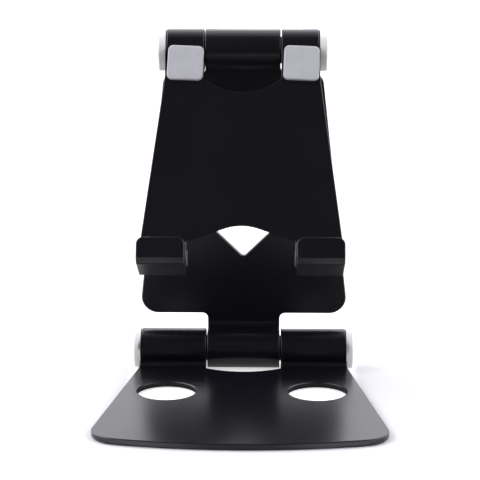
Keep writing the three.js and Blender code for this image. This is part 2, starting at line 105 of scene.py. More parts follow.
TRAY_HALF = 33.2
TRAY_TOP_HALF = 26.04
TRAY_SHOULDER = 13.4
TRAY_PARALLEL = 69.8
TRAY_SLOT_END = 12.2
TRAY_SLOT_DEPTH = 17.05
HOOK_INNER = 17.9
HOOK_DEPTH = 16.8
HOOK_DROP = 0.55
LIP_HEIGHT = 8.4
LIP_CHAMFER = 1.8
LIP_R = 2.3
ARCH_SIDE = 67.6
ARCH_TOP = 62.2
ARCH_R = 17.0

PAD_SIZE = 11.9
PAD_THICK = 1.1
PAD_R = 1.8
PAD_DOWN = 7.2
PAD_LEFT_X = -19.05
PAD_RIGHT_X = 19.6
PAD_TURN = -2.3
LINER_THICK = 0.8
LINER_UP = 7.2
FOOT_R = 6.0
FOOT_POCKET = 0.6
FEET = {
    "base_foot_front_left": (-36.5, -72.5),
    "base_foot_front_right": (36.5, -72.5),
    "base_foot_rear_left": (-27.5, -14.0),
    "base_foot_rear_right": (27.5, -14.0),
}

# the light: the floor is a white sheet that shines by FLOOR_GLOW under the rear of
# the base; the room is bright behind and high at the sides, and dark in front
FLOOR_GLOW = 0.60
FLOOR_SEEN = 0.735
WORLD_BACK = 2.05
WORLD_LEFT = 4.2
WORLD_RIGHT = 2.8
WORLD_FRONT = 0.08

LOWER = Matrix.Translation((0, AXIS_Y * MM, AXIS_Z * MM))
ARM = LOWER @ Matrix.Rotation(ARM_LEAN * DEG, 4, "X")
UPPER = ARM @ Matrix.Translation((0, 0, ARM_LENGTH * MM))
TRAY = UPPER @ Matrix.Rotation(-(TRAY_LEAN + ARM_LEAN) * DEG, 4, "X")


# --------------------------------------------------------- outline helpers
def rounded(corners, steps=12):
    """[x, y, radius] corners as points, each corner rounded."""
    out = []
    n = len(corners)
    for i in range(n):
        p = Vector(corners[i - 1][:2])
        c = corners[i]
        q = Vector(corners[(i + 1) % n][:2])
        o = Vector(c[:2])
        r = c[2] if len(c) > 2 else 0
        if not r:
            out.append((o.x, o.y))
            continue
        a = (p - o).normalized()
        b = (q - o).normalized()
        half = math.acos(max(-1, min(1, a.dot(b)))) / 2
        along = r / math.tan(half)
        mid = (a + b).normalized()
        centre = o + mid * (r / math.sin(half))
        s = o + a * along - centre
        e = o + b * along - centre
        t0 = math.atan2(s.y, s.x)
        sweep = math.atan2(e.y, e.x) - t0
        if sweep > math.pi:
            sweep -= 2 * math.pi
        if sweep < -math.pi:
            sweep += 2 * math.pi
        for k in range(steps + 1):
            t = t0 + sweep * k / steps
            out.append((centre.x + r * math.cos(t), centre.y + r * math.sin(t)))
    return out


def arc_through(p, m, q, steps):
    (ax, ay), (bx, by), (cx, cy) = p, m, q
    d = 2 * (ax * (by - cy) + bx * (cy - ay) + cx * (ay - by))
    ux = (
        (ax * ax + ay * ay) * (by - cy)
        + (bx * bx + by * by) * (cy - ay)
        + (cx * cx + cy * cy) * (ay - by)
    ) / d
    uy = (
        (ax * ax + ay * ay) * (cx - bx)
        + (bx * bx + by * by) * (ax - cx)
        + (cx * cx + cy * cy) * (bx - ax)
    ) / d
    r = math.hypot(ax - ux, ay - uy)
    t0 = math.atan2(ay - uy, ax - ux)
    tm = math.atan2(by - uy, bx - ux)
    t1 = math.atan2(cy - uy, cx - ux)
    wrap = lambda t: t % (2 * math.pi)
    sweep = wrap(t1 - t0)
    if wrap(tm - t0) > sweep:
        sweep -= 2 * math.pi
    return [
        (ux + r * math.cos(t0 + sweep * k / steps), uy + r * math.sin(t0 + sweep * k / steps))
        for k in range(steps + 1)
    ]


def arc(cx, cy, r, t0, t1, steps):
    return [
        (cx + r * math.cos(t0 + (t1 - t0) * k / steps), cy + r * math.sin(t0 + (t1 - t0) * k / steps))
        for k in range(steps + 1)
    ]


def circle(x, y, r, n=96):
    return [
        (x + r * math.cos(2 * math.pi * i / n), y + r * math.sin(2 * math.pi * i / n))
        for i in range(n)
    ]


def area(points):
    return 0.5 * sum(
        points[i - 1][0] * points[i][1] - points[i][0] * points[i - 1][1]
        for i in range(len(points))
    )


# ------------------------------------------------------------ solid helpers
def link(name, mesh):
    o = bpy.data.objects.new(name, mesh)
    bpy.context.scene.collection.objects.link(o)
    return o


def prism(name, points, lo, hi, axis):
    """An outline swept from lo to hi along an axis. The outline is in (Y, Z) for
    X, in (X, Z) for Y and in (X, Y) for Z."""
    clean = []
    for p in points:
        if not clean or math.hypot(p[0] - clean[-1][0], p[1] - clean[-1][1]) > 1e-4:
            clean.append(p)
    if math.hypot(clean[0][0] - clean[-1][0], clean[0][1] - clean[-1][1]) < 1e-4:
        clean.pop()
    if area(clean) < 0:
        clean.reverse()
    place = {
        "X": lambda a, b, h: (h, a, b),
        "Y": lambda a, b, h: (a, h, b),
        "Z": lambda a, b, h: (a, b, h),
    }[axis]
    bm = bmesh.new()
    rings = [
        [bm.verts.new(Vector(place(a, b, h)) * MM) for a, b in clean] for h in (lo, hi)
    ]
    bm.faces.new(rings[0])
    bm.faces.new(rings[1])
    n = len(clean)
    for i in range(n):
        j = (i + 1) % n
        bm.faces.new((rings[0][i], rings[0][j], rings[1][j], rings[1][i]))
    bmesh.ops.recalc_face_normals(bm, faces=bm.faces[:])
    me = bpy.data.meshes.new(name)
    bm.to_mesh(me)
    bm.free()
    return link(name, me)


def turned(name, profile, segments=96):
    """A profile of (radius, x) points turned about X, in mm. Points on the axis
    have radius 0; a profile that doesn't touch the axis is closed into a ring."""
    bm = bmesh.new()
    rings = []
    for r, x in profile:
        if r < 1e-6:
            rings.append([bm.verts.new((x * MM, 0, 0))])
        else:
            rings.append(
                [
                    bm.verts.new(
                        (
                            x * MM,
                            r * math.cos(2 * math.pi * k / segments) * MM,
                            r * math.sin(2 * math.pi * k / segments) * MM,
                        )
                    )
                    for k in range(segments)
                ]
            )
    pairs = list(zip(rings, rings[1:]))
    if profile[0][0] > 1e-6 and profile[-1][0] > 1e-6:
        pairs.append((rings[-1], rings[0]))
    for a, b in pairs:
        for k in range(segments):
            j = (k + 1) % segments
            if len(a) == 1:
                bm.faces.new((a[0], b[k], b[j]))
            elif len(b) == 1:
                bm.faces.new((a[k], a[j], b[0]))
            else:
                bm.faces.new((a[k], a[j], b[j], b[k]))
    bmesh.ops.recalc_face_normals(bm, faces=bm.faces[:])
    me = bpy.data.meshes.new(name)
    bm.to_mesh(me)
    bm.free()
    return link(name, me)


def bake(o):
    """The object's modifiers, applied to its mesh."""
    bpy.context.view_layer.update()
    dg = bpy.context.evaluated_depsgraph_get()
    me = bpy.data.meshes.new_from_object(o.evaluated_get(dg))
    o.modifiers.clear()
    old = o.data
    o.data = me
    bpy.data.meshes.remove(old)
    return o


def combine(o, other, operation):
    m = o.modifiers.new("boolean", "BOOLEAN")
    m.operation = operation
    m.solver = "EXACT"
    m.object = other
    bake(o)
    bpy.data.objects.remove(other)
    return o


def cut(o, other):
    return combine(o, other, "DIFFERENCE")


def tidy(o):
    """Merges doubled points and drops the splits that booleans leave in flat faces."""
    bm = bmesh.new()
    bm.from_mesh(o.data)
    bmesh.ops.remove_doubles(bm, verts=bm.verts[:], dist=2e-6)
    bmesh.ops.dissolve_limit(
        bm,
        angle_limit=0.3 * DEG,
        verts=bm.verts[:],
        edges=bm.edges[:],
        use_dissolve_boundaries=False,
    )
    bmesh.ops.recalc_face_normals(bm, faces=bm.faces[:])
    bm.to_mesh(o.data)
    bm.free()
    return o


END_ROUND = 0.8  # the outer ends of the knuckles
GAP_ROUND = 0.35  # the barrel and knuckle ends that face each other
EDGE_ROUND = 0.42  # the outline of the plates
SLOT_ROUND = 0.16  # the arched slots by the hinges


def ease(o, width, ends=(), boxes=(), segments=3, angle=32, profile=0.5, edge=EDGE_ROUND):
    """Breaks every edge sharper than the angle, and shades the piece smooth. The
    ends are barrel ends, each ((y, z) of its axis, distance from the mid-plane,
    width of its round); where there are any, other edges get the edge width. Each box
    (x, y low, y high, z low, z high, width) holds edges with a round of its own."""
    bm = bmesh.new()
    bm.from_mesh(o.data)
    weight = bm.edges.layers.float.new("bevel_weight_edge")
    other = edge / width if ends else 1.0
    for e in bm.edges:
        if len(e.link_faces) != 2 or e.calc_face_angle() < angle * DEG:
            continue
        w = other
        for box in boxes:
            if all(
                abs(v.co.x) < box[0] * MM
                and box[1] * MM < v.co.y < box[2] * MM
                and box[3] * MM < v.co.z < box[4] * MM
                for v in e.verts
            ):
                w = box[5] / width
        for (cy, cz), x, r in ends:
            if all(
                abs(abs(v.co.x) - x * MM) < 0.02 * MM
                and abs(math.hypot(v.co.y - cy * MM, v.co.z - cz * MM) - BARREL_R * MM) < 0.05 * MM
                for v in e.verts
            ):
                w = r / width
        e[weight] = w
    for f in bm.faces:
        f.smooth = True
    bm.to_mesh(o.data)
    bm.free()
    m = o.modifiers.new("bevel", "BEVEL")
    m.width = width * MM
    m.segments = segments
    m.limit_method = "WEIGHT"
    m.use_clamp_overlap = False
    m.harden_normals = False
    m.profile = profile
    m.miter_outer = "MITER_ARC"
    bake(o)
    level(o)
    return o


def level(o):
    """Normals that keep every large flat face flat to its very edge: a point's
    normal is that of the largest face around it, or the mean of the small ones."""
    me = o.data
    big = (1.2 * MM) ** 2
    at = [[] for _ in me.vertices]
    for p in me.polygons:
        p.use_smooth = True
        for v in p.vertices:
            at[v].append(p.index)
    chosen = [None] * len(me.vertices)
    for i, faces in enumerate(at):
        if not faces:
            continue
        largest = max(faces, key=lambda f: me.polygons[f].area)
        if me.polygons[largest].area > big:
            chosen[i] = me.polygons[largest].normal.copy()
        else:
            total = Vector((0, 0, 0))
            for f in faces:
                total += me.polygons[f].normal * me.polygons[f].area
            chosen[i] = total.normalized()
    out = [None] * len(me.loops)
    for p in me.polygons:
        for li in p.loop_indices:
            n = chosen[me.loops[li].vertex_index]
            flat = p.area > 12 * big or n.dot(p.normal) < math.cos(50 * DEG)
            out[li] = tuple(p.normal) if flat else tuple(n)
    me.normals_split_custom_set(out)


def smooth(o, angle=40):
    for p in o.data.polygons:
        p.use_smooth = True
    o.data.set_sharp_from_angle(angle=angle * DEG)
    return o


def finish_piece(o, name, matrix, body, nodes, material):
    o.name = name
    o.matrix_world = matrix
    o.data.materials.clear()
    o.data.materials.append(material)
    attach(o, body)
    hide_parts(*nodes)
    return o


# --------------------------------------------------------------- materials
class Graph:
    """A material with a Principled shader, and short calls to add nodes to it."""

    def __init__(self, name):
        self.material = bpy.data.materials.new(name)
        self.material.use_nodes = True
        self.tree = self.material.node_tree
        self.bsdf = self.tree.nodes["Principled BSDF"]
        self.coords = self.add("ShaderNodeTexCoord").outputs["Object"]

    def add(self, kind, inputs=None, **settings):
        node = self.tree.nodes.new(kind)
        for k, v in settings.items():
            setattr(node, k, v)
        for k, v in (inputs or {}).items():
            socket = node.inputs[k]
            if isinstance(v, bpy.types.NodeSocket):
                self.tree.links.new(v, socket)
            else:
                socket.default_value = v
        return node

    def set(self, **values):
        names = {
            "color": "Base Color",
            "metallic": "Metallic",
            "roughness": "Roughness",
            "ior": "IOR",
            "specular": "Specular IOR Level",
            "coat": "Coat Weight",
            "coat_roughness": "Coat Roughness",
            "sheen": "Sheen Weight",
            "sheen_roughness": "Sheen Roughness",
            "normal": "Normal",
            "anisotropic": "Anisotropic",
        }
        for k, v in values.items():
            socket = self.bsdf.inputs[names[k]]
            if isinstance(v, bpy.types.NodeSocket):
                self.tree.links.new(v, socket)
            else:
                socket.default_value = v

    def noise(self, scale, detail=4.0, rough=0.5, vector=None, distortion=0.0):
        return self.add(
            "ShaderNodeTexNoise",
            {
                "Vector": vector or self.coords,
                "Scale": scale,
                "Detail": detail,
                "Roughness": rough,
                "Distortion": distortion,
            },
        ).outputs["Fac"]

    def stretched(self, x, y, z):
        return self.add(
            "ShaderNodeVectorMath",
            {0: self.coords, 1: (x, y, z)},
            operation="MULTIPLY",
        ).outputs["Vector"]

    def ramp(self, value, lo, hi, out_lo, out_hi):
        return self.add(
            "ShaderNodeMapRange",
            {
                "Value": value,
                "From Min": lo,
                "From Max": hi,
                "To Min": out_lo,
                "To Max": out_hi,
            },
        ).outputs["Result"]

    def mix(self, factor, a, b):
        node = self.add("ShaderNodeMix", data_type="RGBA")
        for socket, v in (
            (node.inputs[0], factor),
            (node.inputs[6], a),
            (node.inputs[7], b),
        ):
            if isinstance(v, bpy.types.NodeSocket):
                self.tree.links.new(v, socket)
            else:
                socket.default_value = v
        return node.outputs[2]

    def maths(self, operation, a, b=None):
        inputs = {0: a}
        if b is not None:
            inputs[1] = b
        return self.add("ShaderNodeMath", inputs, operation=operation).outputs[0]

    def bump(self, height, strength, distance, normal=None):
        inputs = {"Height": height, "Strength": strength, "Distance": distance}
        if normal is not None:
            inputs["Normal"] = normal
        return self.add("ShaderNodeBump", inputs).outputs["Normal"]


def rgb(r, g, b):
    """An sRGB colour in 0..255 as a linear RGBA."""
    f = lambda v: v / 12.92 if v <= 0.04045 else ((v + 0.055) / 1.055) ** 2.4
    return (f(r / 255), f(g / 255), f(b / 255), 1)


def coating(name, dark, light, rough_lo, rough_hi):
    """Black anodised, bead-blasted aluminium."""
    g = Graph(name)
    broad = g.noise(38.0, 2.0, 0.45)
    speck = g.noise(5200.0, 2.0, 0.6)
    tone = g.mix(g.ramp(broad, 0.15, 0.85, 0, 1), dark, light)
    tone = g.mix(
        g.ramp(speck, 0.42, 0.62, 0.0, 0.35), tone, (light[0] * 1.5, light[1] * 1.5, light[2] * 1.5, 1)
    )
    # painted light: the front of the arm's upper neck lies in shade behind the tray, and a greyer tone is painted
    # there to lift that shade
    at = g.add("ShaderNodeSeparateXYZ", {0: g.coords}).outputs
    side = g.add("ShaderNodeMath", {0: at["X"]}, operation="ABSOLUTE").outputs[0]
    neck_painted_light = g.ramp(at["Z"], 0.082, 0.092, 0.0, 1.0)
    for low, high, value in ((0.1015, 0.1035, at["Z"]), (0.0052, 0.0062, at["Y"]), (0.0128, 0.0150, side)):
        part = g.ramp(value, low, high, 1.0, 0.0)
        neck_painted_light = g.add("ShaderNodeMath", {0: neck_painted_light, 1: part}, operation="MULTIPLY").outputs[0]
    # lays the painted light on the shaded neck: a greyer tone than the coating
    tone = g.mix(neck_painted_light, tone, (0.0185, 0.0178, 0.0225, 1))
    smudge = g.noise(55.0, 1.0, 0.4)
    rough = g.ramp(smudge, 0.1, 0.9, rough_lo, rough_hi)
    grain = g.noise(3600.0, 3.0, 0.55)
    n = g.bump(grain, 0.08, 0.000012)
    g.set(color=tone, roughness=rough, metallic=0.0, ior=1.5, normal=n)
    return g.material


def bright_aluminium():
    """Turned and polished aluminium: fine rings on the face, fine bands round the rim."""
    g = Graph("bright_aluminium")
    rings = g.add(
        "ShaderNodeTexWave",
        {"Vector": g.coords, "Scale": 1150.0, "Distortion": 0.6, "Detail": 2.0, "Detail Scale": 1.5},
        wave_type="RINGS",
        rings_direction="X",
        wave_profile="SIN",
    ).outputs["Fac"]
    lines = g.noise(1.0, 5.0, 0.6, vector=g.stretched(9000, 40, 40))
    cloud = g.noise(220.0, 3.0, 0.5)
    # the rim's near-white tone is partly the metal's own silver and partly painted reflection of the bright sides
    tone = g.mix(g.ramp(cloud, 0.3, 0.7, 0, 1), rgb(241, 238, 236), rgb(248, 245, 243))
    tone = g.mix(g.ramp(lines, 0.35, 0.7, 0.0, 0.3), tone, rgb(196, 195, 196))
    # painted shade: the end faces, picked by which way they face, are painted darker than the rim; the rings on the
    # faces are turning marks
    end_face_mask = g.add("ShaderNodeSeparateXYZ", {0: g.add("ShaderNodeTexCoord").outputs["Normal"]}).outputs["X"]
    end_face_mask = g.add("ShaderNodeMath", {0: end_face_mask}, operation="ABSOLUTE").outputs[0]
    end_face_painted_shade = g.mix(g.ramp(rings, 0.2, 0.8, 0, 1), rgb(136, 136, 138), rgb(158, 158, 160))
    # lays the painted shade on the end faces
    tone = g.mix(g.ramp(end_face_mask, 0.75, 0.95, 0, 1), tone, end_face_painted_shade)
    rough = g.ramp(lines, 0.3, 0.7, 0.46, 0.54)
    n = g.bump(rings, 0.10, 0.000012)
    n = g.bump(lines, 0.10, 0.00001, n)
    turn = g.add("ShaderNodeTangent", direction_type="RADIAL", axis="X").outputs["Tangent"]
    g.tree.links.new(turn, g.bsdf.inputs["Tangent"])
    g.bsdf.inputs["Anisotropic Rotation"].default_value = 0.25
    g.set(color=tone, roughness=rough, metallic=0.1, anisotropic=0.5, normal=n)
    return g.material


def silicone(name, dark, light, rough_lo, rough_hi, grain_scale=1500.0, grain=0.3):
    g = Graph(name)
    cloud = g.noise(160.0, 4.0, 0.6)
    speck = g.noise(2600.0, 3.0, 0.6)
    tone = g.mix(g.ramp(cloud, 0.3, 0.7, 0, 1), dark, light)
    tone = g.mix(g.ramp(speck, 0.5, 0.75, 0.0, 0.25), tone, (dark[0] * 0.8, dark[1] * 0.8, dark[2] * 0.8, 1))
    rough = g.ramp(g.noise(320.0, 3.0, 0.5), 0.3, 0.7, rough_lo, rough_hi)
    n = g.bump(g.noise(grain_scale, 4.0, 0.65), grain, 0.00003)
    g.set(color=tone, roughness=rough, metallic=0.0, ior=1.43, normal=n)
    return g.material


def steel(name, dark, light, rough_lo, rough_hi, scale=900.0):
    g = Graph(name)
    cloud = g.noise(400.0, 3.0, 0.5)
    lines = g.noise(1.0, 4.0, 0.6, vector=g.stretched(scale * 6, 80, 80))
    tone = g.mix(g.ramp(cloud, 0.3, 0.7, 0, 1), dark, light)
    rough = g.ramp(lines, 0.3, 0.7, rough_lo, rough_hi)
    n = g.bump(lines, 0.15, 0.00001)
    g.set(color=tone, roughness=rough, metallic=1.0, normal=n)
    return g.material


COATING = coating(
    "black_coating", (0.0032, 0.0029, 0.0048, 1), (0.0040, 0.0036, 0.0058, 1), 0.235, 0.285
)
CAPS = bright_aluminium()
PADS = silicone("pad_silicone", rgb(189, 190, 194), rgb(199, 200, 204), 0.55, 0.7)
LINERS = silicone("liner_silicone", rgb(84, 84, 88), rgb(96, 96, 100), 0.5, 0.65)
RUBBER = silicone("foot_rubber", rgb(22, 22, 23), rgb(32, 32, 33), 0.7, 0.88, 900.0, 0.5)
POLYMER = silicone("friction_polymer", rgb(44, 44, 46), rgb(56, 56, 58), 0.4, 0.55)
ZINC = steel("zinc_steel", rgb(168, 170, 176), rgb(196, 198, 203), 0.25, 0.42)
SPRING = steel("spring_steel", rgb(112, 115, 122), rgb(138, 141, 148), 0.3, 0.45)
ACETAL = silicone("acetal", rgb(214, 212, 204), rgb(226, 224, 217), 0.4, 0.52)


# ------------------------------------------------------------ the three plates
def gusset_toe(r):
    """Where the rounded inside corner between a barrel and its plate starts on
    the plate, and the angle at which it meets the barrel."""
    cz = -(BARREL_R - PLATE) + r
    cy = math.sqrt((BARREL_R + r) ** 2 - cz**2)
    return cy, cz


def base_plate():
    # section in (y, z), the front at -y: underside, top face, inside corner, barrel
    r = 1.78
    cy, cz = gusset_toe(r)
    meet = math.atan2(cz, -cy)  # from the barrel's middle to the fillet's
    section = [(0, -BARREL_R), (-BASE_FRONT - 4, -BARREL_R), (-BASE_FRONT - 4, -BARREL_R + PLATE)]
    section += arc(-cy, cz, r, -math.pi / 2, meet + math.pi if meet < 0 else meet - math.pi, 10)
    section += arc(0, 0, BARREL_R, meet + 2 * math.pi if meet < 0 else meet, -math.pi / 2, 72)[1:-1]
    body = prism("base", section, -60, 60, "X")
    bow = lambda x: -BASE_FRONT + BASE_BOW_R - math.sqrt(BASE_BOW_R**2 - x * x)
    corners = [(BASE_REAR_HALF, 9, 0), (LOWER_KNUCKLE_IN, 9, 0)]
    corners += [
        (x, y, 0)
        for x, y in arc_through(
            (LOWER_KNUCKLE_IN, -BASE_SLOT_END),
            (0, -BASE_SLOT_DEPTH),
            (-LOWER_KNUCKLE_IN, -BASE_SLOT_END),
            40,
        )
    ]
    corners += [(-LOWER_KNUCKLE_IN, 9, 0), (-BASE_REAR_HALF, 9, 0)]
    corners += [(-BASE_REAR_HALF, -BASE_SIDE_START, 0)]
    corners += [(-BASE_FRONT_HALF, bow(BASE_FRONT_HALF), BASE_CORNER_R)]
    corners += [(38 * i / 20, bow(38 * i / 20), 0) for i in range(-20, 21)]
    corners += [(BASE_FRONT_HALF, bow(BASE_FRONT_HALF), BASE_CORNER_R)]
    corners += [(BASE_REAR_HALF, -BASE_SIDE_START, 0)]
    plan = prism("base_plan", rounded(corners, 24), -20, 20, "Z")
    combine(body, plan, "INTERSECT")
    for side in (1, -1):
        cut(body, prism("hole", circle(side * BASE_HOLE_X, -BASE_HOLE_Y, BASE_HOLE_R), -9, 0, "Z"))
    tidy(body)
    for x, y in FEET.values():
        cut(body, prism("pocket", circle(x, y, FOOT_R + 0.35, 64), -9, -BARREL_R + FOOT_POCKET, "Z"))
    drill(body, LOWER_KNUCKLE_IN, LOWER_KNUCKLE_OUT)
    ease(
        body,
        END_ROUND,
        [((0, 0), LOWER_KNUCKLE_IN, GAP_ROUND), ((0, 0), LOWER_KNUCKLE_OUT, END_ROUND)],
        [(LOWER_KNUCKLE_IN + 0.1, -BASE_SLOT_DEPTH - 0.2, -7.2, -9, 0, SLOT_ROUND)],
    )
    return body


def drill(body, inner, outer):
    for side in (1, -1):
        for r, a, b in (
            (BORE_R, inner - 5, outer - COUNTERBORE_DEPTH + 1),
            (COUNTERBORE_R, outer - COUNTERBORE_DEPTH, outer + 5),
        ):
            lo, hi = (a, b) if side > 0 else (-b, -a)
            cut(body, prism("bore", circle(0, 0, r, 64), lo, hi, "X"))


def arm_plate():
    # section in (y, z), the plate behind both barrels
    r = 2.0
    cy, cz = gusset_toe(r)
    # the same inside corner, turned so that the plate stands behind the barrel
    fy, fz = -cz, cy
    a = math.atan2(fz, fy)
    section = [(BARREL_R, 0)]
    section += [(BARREL_R, ARM_LENGTH)]
    section += arc(0, ARM_LENGTH, BARREL_R, 0, 2 * math.pi - a, 72)[1:]
    section += arc(fy, ARM_LENGTH - fz, r, math.pi - a, 0, 10)[1:]
    section += arc(fy, fz, r, 0, -(math.pi - a), 10)
    section += arc(0, 0, BARREL_R, a, 2 * math.pi, 72)[1:-1]
    body = prism("arm", section, -60, 60, "X")
    bottom, top = ARM_PANEL_BOTTOM, ARM_PANEL_TOP
    outline = rounded(
        [
            (LOWER_BARREL_HALF, -9, 0),
            (LOWER_BARREL_HALF, bottom, ARM_NECK_R),
            (ARM_BOTTOM_HALF, bottom, ARM_CORNER_R),
            (ARM_TOP_HALF, top, ARM_TOP_CORNER_R),
            (UPPER_BARREL_HALF, top, ARM_TOP_NECK_R),
            (UPPER_BARREL_HALF, ARM_LENGTH + 9, 0),
            (-UPPER_BARREL_HALF, ARM_LENGTH + 9, 0),
            (-UPPER_BARREL_HALF, top, ARM_TOP_NECK_R),
            (-ARM_TOP_HALF, top, ARM_TOP_CORNER_R),
            (-ARM_BOTTOM_HALF, bottom, ARM_CORNER_R),
            (-LOWER_BARREL_HALF, bottom, ARM_NECK_R),
            (-LOWER_BARREL_HALF, -9, 0),
        ],
        20,
    )
    combine(body, prism("arm_outline", outline, -20, 20, "Y"), "INTERSECT")
    diamond = rounded(
        [
            (0, DIAMOND_CENTRE - DIAMOND_HALF, DIAMOND_R),
            (DIAMOND_HALF, DIAMOND_CENTRE, DIAMOND_R),
            (0, DIAMOND_CENTRE + DIAMOND_HALF, DIAMOND_R),
            (-DIAMOND_HALF, DIAMOND_CENTRE, DIAMOND_R),
        ],
        10,
    )
    cut(body, prism("diamond", diamond, 0, 12, "Y"))
    tidy(body)
    for z, half in ((0, LOWER_BARREL_HALF), (ARM_LENGTH, UPPER_BARREL_HALF)):
        for r, lo, hi in (
            (BARREL_BORE_R, -20, 20),
            (RECESS_R, half - RECESS_DEPTH, half + 5),
            (RECESS_R, -half - 5, -half + RECESS_DEPTH),
        ):
            cut(body, prism("bore", [(y, z + h) for y, h in circle(0, 0, r, 64)], lo, hi, "X"))
    ease(
        body,
        END_ROUND,
        [((0, 0), LOWER_BARREL_HALF, GAP_ROUND), ((0, ARM_LENGTH), UPPER_BARREL_HALF, GAP_ROUND)],
    )
    return body


def tray_plate():
    # section in (y, z), the plate in front of the knuckles, its hooks forwards
    r = 2.0
    cy, cz = gusset_toe(r)
    fy, fz = cz, -cy  # behind the plate, below the knuckle
    a = math.atan2(fz, fy)  # in the third quadrant
    yb = -(BARREL_R - PLATE)
    yf = yb - HOOK_DEPTH
    zt = -TRAY_LENGTH
    section = rounded(
        [
            (-BARREL_R, 0, 0),
            (-BARREL_R, zt + PLATE - HOOK_DROP, 1.2),
            (yf + PLATE, zt + PLATE, 1.2),
            (yf + PLATE, zt + LIP_HEIGHT, 0),
            (yf, zt + LIP_HEIGHT, 0),
            (yf, zt + LIP_CHAMFER, 0.5),
            (yf + LIP_CHAMFER, zt, 1.1),
            (yb, zt - HOOK_DROP, 0),
            (yb, fz, 0),
        ],
        10,
    )
    section += arc(fy, fz, r, 0, a + math.pi, 10)[1:]
    section += arc(0, 0, BARREL_R, a, math.pi, 72)[1:-1]
    body = prism("tray", section, -60, 60, "X")

    def side(x):
        return [
            (x * UPPER_KNUCKLE_OUT, 9, 0),
            (x * UPPER_KNUCKLE_OUT, -10.6, 3),
            (x * TRAY_TOP_HALF, -TRAY_SHOULDER, 3),
            (x * TRAY_HALF, -TRAY_PARALLEL, 6),
            (x * TRAY_HALF, -TRAY_LENGTH - 4, 0),
            (x * HOOK_INNER, -TRAY_LENGTH - 4, 0),
            (x * HOOK_INNER, -ARCH_SIDE, 1.6),
        ]

    slope = 18.2 * DEG
    apex = ARCH_TOP - ARCH_R * (1 / math.cos(slope) - 1)
    slot = arc_through(
        (UPPER_KNUCKLE_IN, -TRAY_SLOT_END),
        (0, -TRAY_SLOT_DEPTH),
        (-UPPER_KNUCKLE_IN, -TRAY_SLOT_END),
        40,
    )
    outline = rounded(
        [
            *side(1)[::-1],
            (UPPER_KNUCKLE_IN, 9, 0),
            *[(x, z, 0) for x, z in slot],
            (-UPPER_KNUCKLE_IN, 9, 0),
            *side(-1),
            (0, -apex, ARCH_R),
        ],
        20,
    )
    combine(body, prism("tray_outline", outline, -60, 20, "Y"), "INTERSECT")
    lip_top = zt + LIP_HEIGHT
    for sgn in (1, -1):
        for x, d in ((TRAY_HALF, 1), (HOOK_INNER, -1)):
            cx = x - d * LIP_R
            pts = [
                (
                    sgn * (cx + d * LIP_R * math.cos(math.pi / 2 * k / 12)),
                    lip_top - LIP_R + LIP_R * math.sin(math.pi / 2 * k / 12),
                )
                for k in range(13)
            ]
            pts += [
                (sgn * cx, lip_top + 1),
                (sgn * (x + d), lip_top + 1),
                (sgn * (x + d), lip_top - LIP_R),
            ]
            cut(body, prism("lip_corner", pts, yf - 1, yf + PLATE + 1, "Y"))
    tidy(body)
    drill(body, UPPER_KNUCKLE_IN, UPPER_KNUCKLE_OUT)
    ease(
        body,
        END_ROUND,
        [((0, 0), UPPER_KNUCKLE_IN, GAP_ROUND), ((0, 0), UPPER_KNUCKLE_OUT, END_ROUND)],
        [
            (UPPER_KNUCKLE_IN + 0.1, -9, 0, -TRAY_SLOT_DEPTH - 0.2, -7.2, SLOT_ROUND),
        ],
        edge=0.28,
    )
    return body


finish_piece(base_plate(), "base_plate_fine", LOWER, "base", ["base_plate"], COATING)
finish_piece(arm_plate(), "arm_plate_fine", ARM, "arm", ["arm_plate"], COATING)
finish_piece(tray_plate(), "tray_plate_fine", TRAY, "tray", ["tray_plate"], COATING)


# -------------------------------------------------------------- soft parts
def pad(name):
    """A moulded pad: a rounded square with a soft rim and a barely crowned face."""
    bm = bmesh.new()
    h = PAD_SIZE / 2
    steps = 10

    def ring(inset, y):
        r = max(PAD_R - inset, 0.25)
        k = h - inset
        pts = rounded([(-k, -k, r), (k, -k, r), (k, k, r), (-k, k, r)], steps)
        return [bm.verts.new((x * MM, y * MM, z * MM)) for x, z in pts]

    rim = 0.42
    rings = [ring(0.0, 0.0), ring(0.0, -0.25), ring(0.0, -(PAD_THICK - rim))]
    for k in range(1, 7):
        t = math.pi / 2 * k / 6
        rings.append(ring(rim * (1 - math.cos(t)), -(PAD_THICK - rim) - rim * math.sin(t)))
    crown = 0.05
    for inset in (0.9, 1.5, 2.3, 3.2, 4.2, 5.0):
        rings.append(ring(inset, -PAD_THICK - crown * min(1, (inset - 0.42) / 3.5)))
    n = len(rings[0])
    for a, b in zip(rings, rings[1:]):
        for i in range(n):
            j = (i + 1) % n
            bm.faces.new((a[i], a[j], b[j], b[i]))
    bm.faces.new(rings[0])
    centre = bm.verts.new((0, -(PAD_THICK + crown) * MM, 0))
    last = rings[-1]
    for i in range(n):
        bm.faces.new((last[i], last[(i + 1) % n], centre))
    bmesh.ops.recalc_face_normals(bm, faces=bm.faces[:])
    me = bpy.data.meshes.new(name)
    bm.to_mesh(me)
    bm.free()
    return smooth(link(name, me), 50)


for name, x in (("tray_pad_left", PAD_LEFT_X), ("tray_pad_right", PAD_RIGHT_X)):
    m = (
        TRAY
        @ Matrix.Translation((x * MM, (-BARREL_R - 0.2) * MM, -PAD_DOWN * MM))
        @ Matrix.Rotation(-PAD_TURN * DEG, 4, "Y")
    )
    finish_piece(pad(name + "_mesh"), name + "_fine", m, "tray", [name], PADS)


